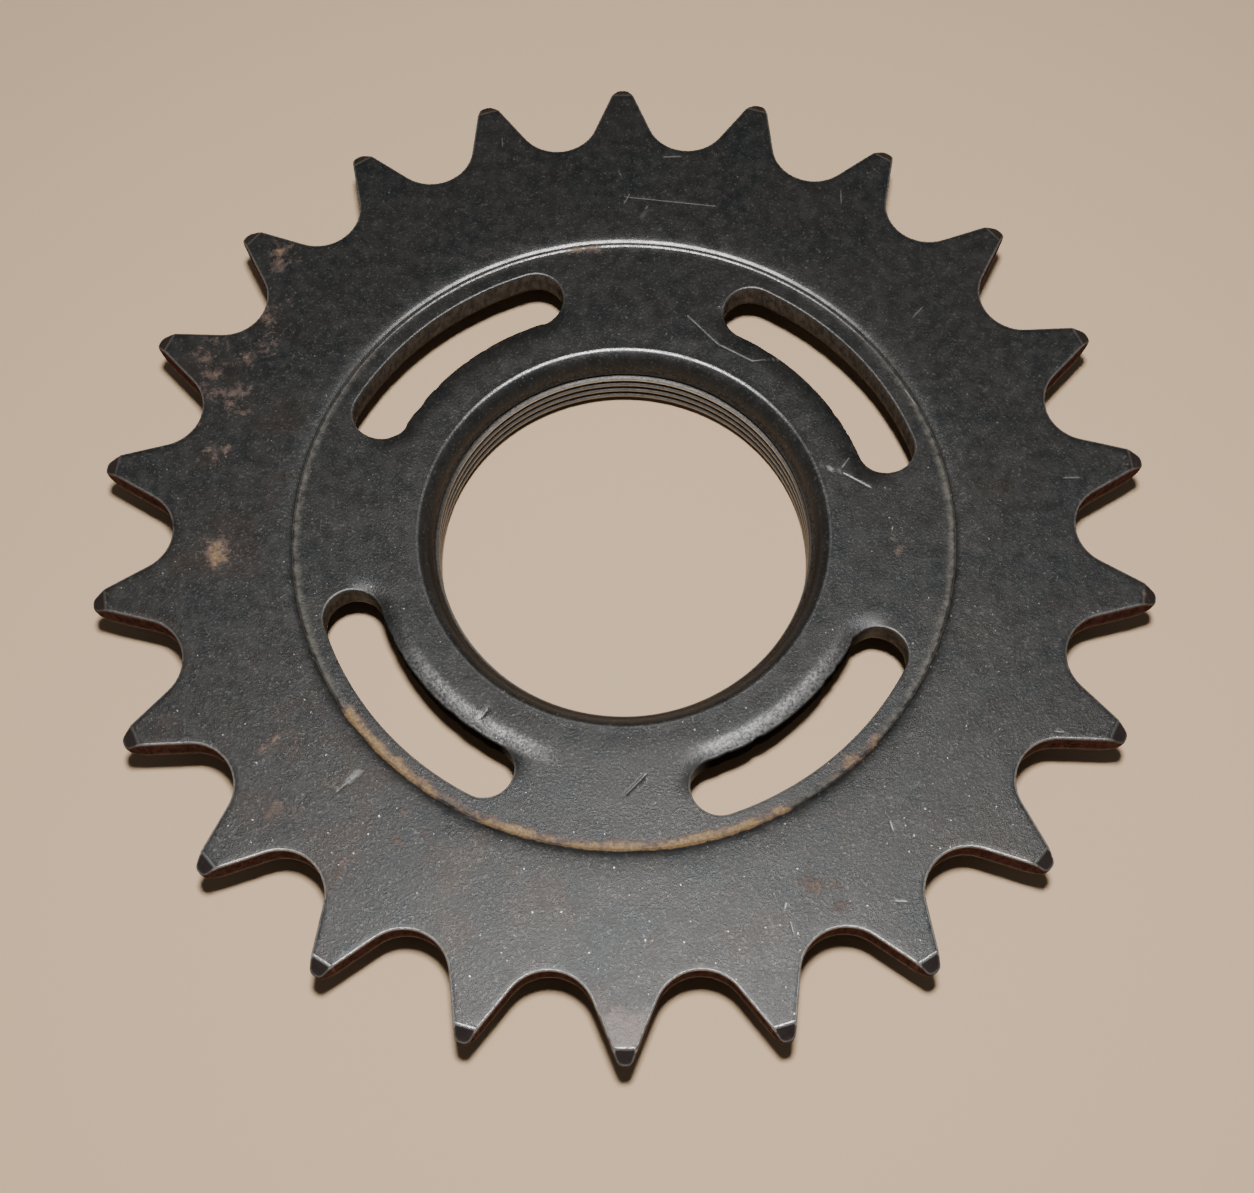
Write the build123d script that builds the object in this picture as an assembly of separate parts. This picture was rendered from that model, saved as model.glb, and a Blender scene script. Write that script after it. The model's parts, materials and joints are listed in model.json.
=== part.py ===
from build123d import *

import os
from math import cos, degrees, hypot, pi, radians, sin, sqrt

# Rear sprocket: one pressed steel plate with 22 teeth, four curved slots and a threaded collar.
# Millimetres, +Z up. The origin is on the sprocket's axis, in the plane of the collar's lower end.
# A tooth points along +Y.

# Teeth, for a 1/2 inch pitch chain
TEETH = 22
CHAIN_PITCH = 12.7
PITCH_R = CHAIN_PITCH / 2 / sin(pi / TEETH)
SEAT_R = 3.93  # gullet under the chain's 7.75 mm roller, centred on the pitch circle
SEAT_HALF_ANGLE = 59.5  # half of the gullet's arc; the flank leaves its end at a tangent
TIP_R = 47.95
TIP_ROUND = 0.45  # corner between the flank and the narrow tip land
BEVEL_REACH = 1.25  # bevel on both faces, measured inwards from the tip circle
BEVEL_DROP = 1.15  # how far the bevel eats into the plate's thickness at the tip

# Plate levels, up from the collar's lower end
PLATE = 3.1
RIM_TOP = 8.0
WEB_DROP = 0.5  # the web is pressed down this far from the rim
WEB_TOP = RIM_TOP - WEB_DROP
RIM_UNDER = RIM_TOP - PLATE
WEB_UNDER = WEB_TOP - PLATE

# Step between rim and web
STEP_R = 29.9
STEP_ROLL_REACH = 2.4  # the rim's top edge rolls over from this far outside the step
STEP_ROLL_DROP = 0.16
STEP_FILLET = 0.22  # in the corner between the step and the web
UNDER_STEP_R = STEP_R + 0.15

# Slots, bent round the axis
SLOT_COUNT = 4
SLOT_CENTRE_ANGLE = 40.3  # the first slot's middle, from +X
SLOT_OUTER_R = 28.1
SLOT_INNER_R = 22.9
SLOT_MIDDLE_R = (SLOT_OUTER_R + SLOT_INNER_R) / 2
SLOT_HALF_ANGLE = 27.2  # from the slot's middle to the end of its round end
SLOT_STRAIGHT_ANGLE = SLOT_HALF_ANGLE - degrees((SLOT_OUTER_R - SLOT_INNER_R) / 2 / SLOT_MIDDLE_R)
DIE_ROLL_REACH = 2.1  # rolled-over top edge along the slot's inner side
DIE_ROLL_DROP = 0.56

# Collar and its thread, 1.375 inch by 24 to the inch, right-hand
THREAD_PITCH = 25.4 / 24
THREAD_MAJOR_R = 1.375 * 25.4 / 2
THREAD_DEPTH = 0.541 * THREAD_PITCH
THREAD_MINOR_R = THREAD_MAJOR_R - THREAD_DEPTH
GROOVE_MOUTH = 0.75 * THREAD_PITCH  # groove width at the crests
GROOVE_ROOT = 0.125 * THREAD_PITCH  # groove width at its bottom
COLLAR_OUTER_R = 19.7
COLLAR_FILLET = 0.9  # between the collar and the web's underside
COLLAR_CHAMFER = 0.35  # lower end, inside and outside
LIP_R = 18.65  # crease where the web turns down into the bore
LIP_DIP = 0.06  # the web sinks this little towards the crease
MOUTH_R = 17.4  # end of the rounded mouth
MOUTH_Z = 5.65
MOUTH_BULGE = 0.27  # how far the mouth's curve stands out from its chord
THREAD_START_Z = 5.0  # full crest below this level

CLEAR = 1.0  # how far a cutting body runs past what it cuts


def polar(radius, degrees_from_x):
    """The point at this radius and angle, in the plane."""
    a = radians(degrees_from_x)
    return radius * cos(a), radius * sin(a)


def in_gap(x, y, gap_angle):
    """A point given across and along a gap's centre line, turned to the gap's angle from +X."""
    a = radians(gap_angle)
    return y * cos(a) + x * sin(a), y * sin(a) - x * cos(a)


def tooth_outline():
    """The toothed outline as one face, with rounded tip corners."""
    a = radians(SEAT_HALF_ANGLE)
    start_x = SEAT_R * sin(a)
    start_y = PITCH_R - SEAT_R * cos(a)
    along = start_x * cos(a) + start_y * sin(a)
    run = -along + sqrt(along**2 - hypot(start_x, start_y) ** 2 + TIP_R**2)
    end_x = start_x + run * cos(a)
    end_y = start_y + run * sin(a)
    step = 360 / TEETH
    edges = []
    for k in range(TEETH):
        gap = 90 + (k + 0.5) * step
        before = in_gap(end_x, end_y, gap)
        seat_a = in_gap(start_x, start_y, gap)
        bottom = in_gap(0, PITCH_R - SEAT_R, gap)
        seat_b = in_gap(-start_x, start_y, gap)
        after = in_gap(-end_x, end_y, gap)
        edges.append(Line(before, seat_a))
        edges.append(ThreePointArc(seat_a, bottom, seat_b))
        edges.append(Line(seat_b, after))
        edges.append(ThreePointArc(after, polar(TIP_R, gap + step / 2), in_gap(end_x, end_y, gap + step)))
    outline = make_face(edges)
    corners = [v for v in outline.vertices() if hypot(v.X, v.Y) > TIP_R - 0.01]
    return fillet(corners, TIP_ROUND)


def mouth_middle():
    """The middle of the curve from the crease into the bore, in the XZ plane."""
    lip_z = WEB_TOP - LIP_DIP
    run, drop = LIP_R - MOUTH_R, lip_z - MOUTH_Z
    chord = hypot(run, drop)
    return (
        (LIP_R + MOUTH_R) / 2 - MOUTH_BULGE * drop / chord,
        (lip_z + MOUTH_Z) / 2 + MOUTH_BULGE * run / chord,
    )


def section():
    """Half of the plate's cross-section, from the bore to past the tips, in the XZ plane."""
    roll_r = STEP_R + STEP_ROLL_REACH
    edge_z = RIM_TOP - STEP_ROLL_DROP
    lip_z = WEB_TOP - LIP_DIP
    outer = TIP_R + CLEAR
    lines = [
        Polyline(
            (THREAD_MINOR_R, THREAD_START_Z),
            (THREAD_MINOR_R, COLLAR_CHAMFER + THREAD_DEPTH),
            (THREAD_MAJOR_R + COLLAR_CHAMFER, 0),
            (COLLAR_OUTER_R - COLLAR_CHAMFER, 0),
            (COLLAR_OUTER_R, COLLAR_CHAMFER),
            (COLLAR_OUTER_R, WEB_UNDER - COLLAR_FILLET),
        ),
        RadiusArc(
            (COLLAR_OUTER_R, WEB_UNDER - COLLAR_FILLET),
            (COLLAR_OUTER_R + COLLAR_FILLET, WEB_UNDER),
            COLLAR_FILLET,
        ),
        Polyline(
            (COLLAR_OUTER_R + COLLAR_FILLET, WEB_UNDER),
            (UNDER_STEP_R, WEB_UNDER),
            (UNDER_STEP_R, RIM_UNDER),
            (outer, RIM_UNDER),
            (outer, RIM_TOP),
            (roll_r, RIM_TOP),
        ),
        TangentArc((roll_r, RIM_TOP), (STEP_R, edge_z), tangent=(-1, 0)),
        Line((STEP_R, edge_z), (STEP_R, WEB_TOP + STEP_FILLET)),
        RadiusArc((STEP_R, WEB_TOP + STEP_FILLET), (STEP_R - STEP_FILLET, WEB_TOP), STEP_FILLET),
        Polyline(
            (STEP_R - STEP_FILLET, WEB_TOP),
            (SLOT_INNER_R - DIE_ROLL_REACH, WEB_TOP),
            (LIP_R, lip_z),
        ),
        ThreePointArc((LIP_R, lip_z), mouth_middle(), (MOUTH_R, MOUTH_Z)),
        Line((MOUTH_R, MOUTH_Z), (THREAD_MINOR_R, THREAD_START_Z)),
    ]
    return Plane.XZ * make_face(lines)


def tip_bevels():
    """The two rings that cut the bevels of all the teeth, above and below."""
    mid = (RIM_TOP + RIM_UNDER) / 2
    top = Polyline(
        (TIP_R - BEVEL_REACH, RIM_TOP),
        (TIP_R + CLEAR, RIM_TOP - BEVEL_DROP * (1 + CLEAR / BEVEL_REACH)),
        (TIP_R + CLEAR, RIM_TOP + CLEAR),
        (TIP_R - BEVEL_REACH, RIM_TOP + CLEAR),
        close=True,
    )
    ring = revolve(Plane.XZ * make_face(top), Axis.Z)
    return [ring, mirror(ring, Plane.XY.offset(mid))]


def slot(middle):
    """One slot's cutting body: a bar bent round the axis, with round ends."""
    low, high = middle - SLOT_STRAIGHT_ANGLE, middle + SLOT_STRAIGHT_ANGLE
    outer = [polar(SLOT_OUTER_R, angle) for angle in (low, middle, high)]
    inner = [polar(SLOT_INNER_R, angle) for angle in (high, middle, low)]
    far_end = polar(SLOT_MIDDLE_R, middle + SLOT_HALF_ANGLE)
    near_end = polar(SLOT_MIDDLE_R, middle - SLOT_HALF_ANGLE)
    face = make_face(
        [
            ThreePointArc(*outer),
            ThreePointArc(outer[-1], far_end, inner[0]),
            ThreePointArc(*inner),
            ThreePointArc(inner[-1], near_end, outer[0]),
        ]
    )
    return extrude(face, RIM_TOP + CLEAR)


def die_roll(middle):
    """The rolled-over top edge along one slot's inner side, as a cutting body."""
    edge_r = SLOT_INNER_R + 0.1
    start = (SLOT_INNER_R - DIE_ROLL_REACH, WEB_TOP)
    face = make_face(
        [
            TangentArc(start, (edge_r, WEB_TOP - DIE_ROLL_DROP), tangent=(1, 0)),
            Line((edge_r, WEB_TOP - DIE_ROLL_DROP), (edge_r, WEB_TOP + CLEAR)),
            Line((edge_r, WEB_TOP + CLEAR), (start[0], WEB_TOP + CLEAR)),
            Line((start[0], WEB_TOP + CLEAR), start),
        ]
    )
    turned = Rot(0, 0, middle - SLOT_STRAIGHT_ANGLE) * (Plane.XZ * face)
    return revolve(turned, Axis.Z, 2 * SLOT_STRAIGHT_ANGLE)


def thread_groove():
    """The internal thread's V groove, one helical body."""
    turns_height = THREAD_START_Z + 2 * THREAD_PITCH
    overlap = 0.05
    mouth = GROOVE_MOUTH / 2 * (1 + overlap / THREAD_DEPTH)
    helix = Helix(THREAD_PITCH, turns_height, THREAD_MINOR_R - overlap)
    face = make_face(
        Polyline(
            (0, -mouth),
            (THREAD_DEPTH + overlap, -GROOVE_ROOT / 2),
            (THREAD_DEPTH + overlap, GROOVE_ROOT / 2),
            (0, mouth),
            close=True,
        )
    )
    place = Plane(origin=helix @ 0, x_dir=(1, 0, 0), z_dir=(0, -1, 0))
    groove = sweep(place * face, helix, is_frenet=True)
    return Pos(0, 0, -THREAD_PITCH) * groove


def sprocket():
    """The whole sprocket: one plate, toothed, stepped, slotted, drawn into a collar and threaded."""
    plate = revolve(section(), Axis.Z)
    plate &= extrude(tooth_outline(), RIM_TOP + CLEAR)
    for ring in tip_bevels():
        plate -= ring
    for k in range(SLOT_COUNT):
        middle = SLOT_CENTRE_ANGLE + k * 360 / SLOT_COUNT
        plate -= slot(middle)
        plate -= die_roll(middle)
    return plate - thread_groove()


os.makedirs("parts", exist_ok=True)
part = sprocket()
part.label = "sprocket"
export_step(part, "parts/sprocket.step")
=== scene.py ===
import json
import math

import bmesh
import bpy
import numpy as np
from mathutils import Matrix, Vector
from mathutils.geometry import delaunay_2d_cdt


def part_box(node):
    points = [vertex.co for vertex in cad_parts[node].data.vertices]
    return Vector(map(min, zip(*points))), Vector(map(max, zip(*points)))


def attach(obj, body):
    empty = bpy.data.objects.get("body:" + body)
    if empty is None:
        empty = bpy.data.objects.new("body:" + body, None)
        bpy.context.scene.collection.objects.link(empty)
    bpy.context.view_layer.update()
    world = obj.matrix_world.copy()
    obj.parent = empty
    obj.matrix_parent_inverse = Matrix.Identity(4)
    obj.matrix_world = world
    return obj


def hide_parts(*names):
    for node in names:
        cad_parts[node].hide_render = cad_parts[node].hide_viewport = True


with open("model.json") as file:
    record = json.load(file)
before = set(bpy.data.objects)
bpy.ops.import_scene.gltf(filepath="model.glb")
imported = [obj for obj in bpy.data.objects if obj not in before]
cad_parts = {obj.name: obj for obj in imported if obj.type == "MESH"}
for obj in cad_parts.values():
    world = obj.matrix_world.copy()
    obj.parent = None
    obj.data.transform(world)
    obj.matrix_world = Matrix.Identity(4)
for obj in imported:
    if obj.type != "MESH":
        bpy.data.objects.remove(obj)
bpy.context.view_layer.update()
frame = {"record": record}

# --------------------------------------
# Sizes, in millimetres. The tip circle, the rim's level and the bore come from the frame.
MM = 0.001
node_low, node_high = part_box("sprocket")
hub_thread = next(m for m in frame["record"]["mounts"] if m["name"] == "hub_thread")

TEETH = 22
CHAIN_PITCH = 12.7
PITCH_R = CHAIN_PITCH / 2 / math.sin(math.pi / TEETH)
TOOTH_STEP = 360 / TEETH
SEAT_R = 3.93
SEAT_HALF_ANGLE = math.radians(59.5)
TIP_R = node_high.y / MM
TIP_ROUND = 0.65
BEVEL_REACH = 1.25
BEVEL_DROP = 1.15
BEVEL_R = TIP_R - BEVEL_REACH

PLATE = 3.1
WEB_DROP = 0.5
FLAT_SLACK = 0.045  # room for the plate's slight waviness, so that it stays within the frame's box
RIM_TOP = node_high.z / MM - FLAT_SLACK
WEB_TOP = RIM_TOP + FLAT_SLACK - WEB_DROP
RIM_UNDER = RIM_TOP + FLAT_SLACK - PLATE
WEB_UNDER = WEB_TOP - PLATE

STEP_R = 29.9
ROLL_REACH = 3.0
STEP_FILLET = 0.26
UNDER_STEP_R = STEP_R + 0.15

SLOT_MIDDLES = [40.3 + 90 * k for k in range(4)]
SLOT_HALF_ANGLE = 27.2
SLOT_OUTER_R = 28.1
SLOT_INNER_R = 22.9
SLOT_MIDDLE_R = (SLOT_OUTER_R + SLOT_INNER_R) / 2
SLOT_HALF_WIDTH = (SLOT_OUTER_R - SLOT_INNER_R) / 2
SLOT_STRAIGHT = SLOT_HALF_ANGLE - math.degrees(SLOT_HALF_WIDTH / SLOT_MIDDLE_R)
DIE_ROLL_REACH = 1.75
DIE_ROLL_DROP = 0.44

THREAD_PITCH = 25.4 / 24
THREAD_MINOR_R = hub_thread["dims"]["r_mm"]
THREAD_DEPTH = 0.541 * THREAD_PITCH
THREAD_MAJOR_R = THREAD_MINOR_R + THREAD_DEPTH
COLLAR_OUTER_R = 19.7
COLLAR_FILLET = 0.9
COLLAR_CHAMFER = 0.35
LIP_R = 18.65
LIP_DIP = 0.06
MOUTH_R = 17.4
MOUTH_Z = 5.65
MOUTH_BULGE = 0.27
THREAD_START_Z = 5.0

# How finely each stretch is divided, and where one stretch of the faces hands over to the next
TOP_SPACING = 0.37
UNDER_SPACING = 0.8
STEP_COUNT = 528
BORE_COUNT = 264
STEP_RINGS = (3.7, 3.1, 2.5, 2.0, 1.55, 1.15, 0.85, 0.60, 0.42, 0.28, 0.18, 0.10, 0.05)  # outside the step
LIP_RINGS = (1.95, 1.55, 1.20, 0.85, 0.55, 0.30, 0.11)  # outside the crease
BAND_INNER_R = STEP_R - 0.65
BAND_OUTER_R = STEP_R + STEP_RINGS[0]
WEB_INNER_R = LIP_R + LIP_RINGS[0]
UNDER_BAND_INNER_R = UNDER_STEP_R - 0.45
UNDER_BAND_OUTER_R = UNDER_STEP_R + 0.65
UNDER_INNER_R = COLLAR_OUTER_R + COLLAR_FILLET + 0.15
SLOT_BAND = 0.92  # the ruled strip round every slot on the upper face
EDGE = 0.20  # rounding of the cut edges
BEVEL_EASE = 0.06  # half the width of the soft turn into the bevel
WELD = 0.0005

rng = np.random.default_rng(22)


# --------------------------------------
# Small helpers
def polar(radius, degrees):
    """Points at this radius and angle, as rows of x and y."""
    a = np.radians(np.asarray(degrees, float))
    r = np.broadcast_to(np.asarray(radius, float), a.shape)
    return np.stack([r * np.cos(a), r * np.sin(a)], -1)


def circle(radius, count):
    """A closed ring of points, counter-clockwise from +X."""
    return polar(radius, np.arange(count) * 360 / count)


def radius_of(p):
    return np.hypot(p[:, 0], p[:, 1])


def angle_of(p):
    return np.degrees(np.arctan2(p[:, 1], p[:, 0]))


def wrapped(degrees, period):
    """The angle brought to within half a period of zero."""
    return (degrees + period / 2) % period - period / 2


def smooth(value, low, high):
    """0 below low, 1 above high, with a soft turn at both."""
    t = np.clip((value - low) / (high - low), 0, 1)
    return t * t * (3 - 2 * t)


def run_to_circle(start, way, radius):
    """How far it is from a point inside a circle round the axis to that circle, the given way."""
    ahead = start @ way
    return math.sqrt(ahead**2 - start @ start + radius**2) - ahead


def ripple(wavelength, waves=28):
    """A smooth random surface of about unit height, as a function of points in the plane."""
    turn = rng.uniform(0, 2 * np.pi, waves)
    number = 2 * np.pi / (wavelength * rng.uniform(0.6, 1.7, waves))
    shift = rng.uniform(0, 2 * np.pi, waves)
    kx, ky = number * np.cos(turn), number * np.sin(turn)

    def height(p):
        total = np.zeros(len(p))
        for a, b, c in zip(kx, ky, shift):
            total += np.sin(p[:, 0] * a + p[:, 1] * b + c)
        return total * math.sqrt(2 / waves)

    return height


broad_wave = ripple(26)
small_wave = ripple(5)
fine_wave = ripple(0.9)
cut_wave = ripple(1.6)


# --------------------------------------
# Wear: a scratch is a line of (radius, angle) points with a half width, a depth and a brightness.
# The ones that catch the eye are placed in round numbers; the short ones are scattered.
LONG_SCRATCHES = [
    ([(23, 75), (21, 65), (21, 55), (23, 50)], 0.055, 0.022, 0.5),  # the web at 1 o'clock
    ([(19, 20), (21, 15), (23, 10)], 0.06, 0.028, 0.8),  # the web at 3 o'clock
    ([(35, 75), (35, 90)], 0.04, 0.010, 0.5),  # the rim at 12 o'clock
    ([(23, 275), (25, 270)], 0.08, 0.070, 0.15),  # the web at 6 o'clock
    ([(22, 235), (20, 235)], 0.12, 0.095, 0.15),  # the dent by the lower left slot
    ([(35, 225), (32, 225)], 0.06, 0.030, 0.3),  # the rim at 7 o'clock
]
SHORT_SCRATCHES = 30


def scattered_scratches(count):
    """Short straight scratches in random places and directions on the rim and the web."""
    dice = np.random.default_rng(5)
    out = []
    for _ in range(count):
        middle = np.array(polar(dice.uniform(20, 44), dice.uniform(0, 360)))
        half = np.array(polar(dice.uniform(0.3, 1.1), dice.uniform(0, 360)))
        ends = [
            (math.hypot(x, y), math.degrees(math.atan2(y, x)))
            for x, y in (middle - half, middle + half)
        ]
        out.append((ends, dice.uniform(0.04, 0.07), dice.uniform(0.012, 0.028), dice.uniform(0.3, 0.6)))
    return out


SCRATCHES = LONG_SCRATCHES + scattered_scratches(SHORT_SCRATCHES)

# Rust: blooms as (radius, angle, size, share), and arcs along the foot of the step as
# (first angle, last angle, share)
RUST_BLOOMS = [
    (43.6, 138, 3.4, 0.75),
    (41.6, 146, 3.6, 0.80),
    (45.6, 150, 2.4, 0.70),
    (39.0, 152, 3.2, 0.85),
    (42.0, 156, 3.4, 0.80),
    (38.4, 160, 2.6, 0.85),
    (42.6, 166, 3.0, 0.70),
    (38.0, 168, 2.6, 0.70),
    (36.4, 184, 1.7, 1.35),
    (36.2, 184, 3.4, 0.55),
    (37.4, 175, 1.6, 0.75),
    (28.0, 170, 1.0, 0.85),
    (31.6, 165, 2.0, 0.60),
    (34.4, 195, 2.6, 0.45),
    (37.0, 213, 3.4, 0.55),
    (39.6, 222, 3.0, 0.60),
    (41.0, 233, 2.4, 0.65),
    (33.4, 224, 2.6, 0.60),
    (33.0, 236, 3.0, 0.50),
    (37.6, 296, 3.4, 0.62),
    (36.0, 300, 2.4, 0.55),
    (33.6, 297, 2.4, 0.45),
    (44.0, 324, 1.8, 0.60),
    (46.4, 8, 1.2, 0.80),
    (46.8, 352, 1.0, 0.70),
    (45.8, 38, 1.8, 0.60),
    (43.0, 27, 2.0, 0.45),
    (46.2, 137, 1.4, 0.70),
    (45.0, 270, 2.6, 0.40),
    (40.6, 73, 1.8, 0.45),
    (39.6, 118, 2.2, 0.45),
    (24.8, 355, 1.6, 0.45),
    (25.6, 175, 2.0, 0.50),
]
STEP_RUST = [
    (217, 231, 1.55),
    (231, 238, 1.10),
    (238, 262, 1.25),
    (262, 284, 1.60),
    (284, 297, 1.40),
    (311, 317, 1.15),
    (96, 99, 0.90),
    (20, 60, 0.45),
    (120, 150, 0.45),
]


def rusted(p):
    """The share of rust at points, before its ragged edge is worked out by the finish."""
    share = np.zeros(len(p))
    for r, a, size, most in RUST_BLOOMS:
        share = np.maximum(share, most * np.exp(-((np.hypot(*(p - polar(r, a)).T) / size) ** 2)))
    r, a = radius_of(p), angle_of(p)
    across = smooth(r, STEP_R - 1.6, STEP_R - 0.35) * (1 - smooth(r, STEP_R, STEP_R + 0.3))
    for first, last, most in STEP_RUST:
        off = np.maximum(np.abs(wrapped(a - (first + last) / 2, 360)) - (last - first) / 2, 0)
        share = np.maximum(share, most * across * np.exp(-((off / 2.5) ** 2)))
    return share


def corners_of(line):
    return np.array([polar(r, a) for r, a in line])


def line_points(line, spacing):
    """Points along a line of (radius, angle) points, about evenly spaced."""
    corners = corners_of(line)
    out = [corners[:1]]
    for a, b in zip(corners[:-1], corners[1:]):
        steps = max(1, round(float(np.hypot(*(b - a))) / spacing))
        out.append(a + (b - a) * (np.arange(1, steps + 1) / steps)[:, None])
    return np.concatenate(out)


def along_line(p, corners):
    """(distance from a chain of straight stretches, distance along it from its nearer end)."""
    best, where, start = np.full(len(p), 1e9), np.zeros(len(p)), 0.0
    for a, b in zip(corners[:-1], corners[1:]):
        d = b - a
        size = math.hypot(*d)
        t = np.clip(((p - a) @ d) / size**2, 0, 1)
        away = np.hypot(*(p - a - t[:, None] * d).T)
        where = np.where(away < best, start + t * size, where)
        best = np.minimum(best, away)
        start += size
    return best, np.minimum(where, start - where)


def scratched(p):
    """(depth of scratches, worn share) at points on the upper face. Every scratch fades at its ends."""
    depth, worn = np.zeros(len(p)), np.zeros(len(p))
    for line, width, deep, bright in SCRATCHES:
        corners = corners_of(line)
        near = (np.abs(p - corners.mean(0)) < 6).all(1)
        away, from_end = along_line(p[near], corners)
        share = np.exp(-((away / width) ** 2)) * smooth(from_end, -0.02, 0.3)
        burr = np.exp(-(((away - 1.9 * width) / (0.7 * width)) ** 2)) * smooth(from_end, 0, 0.3)
        depth[near] += deep * (share - 0.3 * burr)
        worn[near] = np.maximum(worn[near], bright * share)
    return depth, worn


# --------------------------------------
# The shape as functions of a point in the plane
def slot_distance(p):
    """(distance outside the nearest slot's edge, share of the inner side) for each point."""
    r, a = radius_of(p), angle_of(p)
    phi = np.full(len(p), 180.0)
    for middle in SLOT_MIDDLES:
        here = wrapped(a - middle, 360)
        phi = np.where(np.abs(here) < np.abs(phi), here, phi)
    straight = np.abs(phi) <= SLOT_STRAIGHT
    end = polar(SLOT_MIDDLE_R, np.sign(phi) * SLOT_STRAIGHT)
    local = polar(r, phi)
    away = local - end
    reach = np.hypot(away[:, 0], away[:, 1])
    outwards = (away * local).sum(1) / np.maximum(reach * r, 1e-9)
    distance = np.where(straight, np.abs(r - SLOT_MIDDLE_R), reach) - SLOT_HALF_WIDTH
    inner = np.where(straight, (r < SLOT_MIDDLE_R).astype(float), np.clip(-outwards, 0, 1))
    return distance, inner


def tooth_depth(p):
    """How far inside the toothed outline each point is."""
    r, a = radius_of(p), angle_of(p)
    phi = wrapped(a - 90 - TOOTH_STEP / 2, TOOTH_STEP)
    across, along = r * np.abs(np.sin(np.radians(phi))), r * np.cos(np.radians(phi))
    s, c = math.sin(SEAT_HALF_ANGLE), math.cos(SEAT_HALF_ANGLE)
    from_x, from_y = across - SEAT_R * s, along - (PITCH_R - SEAT_R * c)
    run = from_x * c + from_y * s
    to_flank = from_x * s - from_y * c
    to_seat = np.hypot(across, along - PITCH_R) - SEAT_R
    return np.minimum(np.where(run > 0, to_flank, to_seat), TIP_R - r)


def bevel(r):
    """How far the tip bevel has dropped at this radius, with a slightly rounded start."""
    past = r - BEVEL_R
    softened = (past + np.sqrt(past**2 + BEVEL_EASE**2)) / 2
    return np.maximum(0, softened) * BEVEL_DROP / BEVEL_REACH


def roll(r):
    """How far the rim's top has rolled over towards the step."""
    t = np.clip(1 - (r - STEP_R) / ROLL_REACH, 0, 1)
    return 0.09 * t**2 + 0.20 * t**9


def top_height(p):
    """The upper face's height at each point, away from the step itself."""
    r = radius_of(p)
    distance, inner = slot_distance(p)
    rolled = DIE_ROLL_DROP * inner * np.clip(1 - distance / DIE_ROLL_REACH, 0, 1) ** 2
    lip = LIP_DIP * smooth(WEB_INNER_R + 0.4 - r, 0, WEB_INNER_R + 0.4 - LIP_R)
    z = np.where(r > STEP_R, RIM_TOP - bevel(r) - roll(r), WEB_TOP - rolled - lip)
    z = z + 0.012 * broad_wave(p) + 0.003 * small_wave(p) + 0.0009 * fine_wave(p)
    return z - scratched(p)[0]


def under_wave(p):
    """The lower face's slight waviness."""
    return 0.010 * broad_wave(p) + 0.004 * small_wave(p)


def under_height(p):
    """The lower face's height at each point, away from its step and the collar."""
    r = radius_of(p)
    return np.where(r > UNDER_STEP_R, RIM_UNDER + bevel(r), WEB_UNDER) + under_wave(p)


# --------------------------------------
# Outlines, counter-clockwise, each as points with the direction out of the metal
def half_gap():
    """Half of one tooth gap, from its bottom to the next tip's middle, in the gap's own axes."""
    s, c = math.sin(SEAT_HALF_ANGLE), math.cos(SEAT_HALF_ANGLE)
    points, outs = [], []
    for f in np.linspace(0, SEAT_HALF_ANGLE, 9):
        points.append((SEAT_R * math.sin(f), PITCH_R - SEAT_R * math.cos(f)))
        outs.append((-math.sin(f), math.cos(f)))
    start = np.array(points[-1])
    along, out = np.array([c, s]), np.array([-s, c])
    inner = start - TIP_ROUND * out
    to_corner = run_to_circle(inner, along, TIP_R - TIP_ROUND)
    to_bevel = run_to_circle(start, along, BEVEL_R)
    runs = list(np.linspace(0, to_bevel, 10)[1:]) + [(to_bevel + to_corner) / 2, to_corner]
    for run in runs:
        points.append(tuple(start + run * along))
        outs.append(tuple(out))
    centre = inner + to_corner * along
    first = math.atan2(out[1], out[0])
    last = math.atan2(centre[1], centre[0])
    for f in np.linspace(first, last, 5)[1:]:
        points.append((centre[0] + TIP_ROUND * math.cos(f), centre[1] + TIP_ROUND * math.sin(f)))
        outs.append((math.cos(f), math.sin(f)))
    middle = math.pi / 2 - math.radians(TOOTH_STEP / 2)
    points.append((TIP_R * math.cos(middle), TIP_R * math.sin(middle)))
    outs.append((math.cos(middle), math.sin(middle)))
    return np.array(points), np.array(outs)


def toothed():
    """The whole toothed outline."""
    points, outs = half_gap()
    flip = np.array([-1, 1])
    gap_points = np.concatenate([points[:0:-1], points[:-1] * flip])
    gap_outs = np.concatenate([outs[:0:-1], outs[:-1] * flip])
    all_points, all_outs = [], []
    for k in range(TEETH):
        a = math.radians((k + 0.5) * TOOTH_STEP)
        turn = np.array([[math.cos(a), math.sin(a)], [-math.sin(a), math.cos(a)]])
        all_points.append(gap_points @ turn)
        all_outs.append(gap_outs @ turn)
    return np.concatenate(all_points), np.concatenate(all_outs)


def slotted(middle):
    """One slot's edge. The direction out of the metal is into the slot."""
    side, cap = 58, 25
    s = np.linspace(-SLOT_STRAIGHT, SLOT_STRAIGHT, side, endpoint=False)
    f = np.linspace(0, 180, cap, endpoint=False)
    outer, inner = polar(SLOT_OUTER_R, middle + s), polar(SLOT_INNER_R, middle - s)
    parts, outs = [outer], [-outer / SLOT_OUTER_R]
    for end, start in ((SLOT_STRAIGHT, 0), (-SLOT_STRAIGHT, 180)):
        way = polar(1, middle + end + start + f)
        parts.append(polar(SLOT_MIDDLE_R, middle + end) + SLOT_HALF_WIDTH * way)
        outs.append(-way)
        if start == 0:
            parts.append(inner)
            outs.append(inner / SLOT_INNER_R)
    return np.concatenate(parts), np.concatenate(outs)


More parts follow.
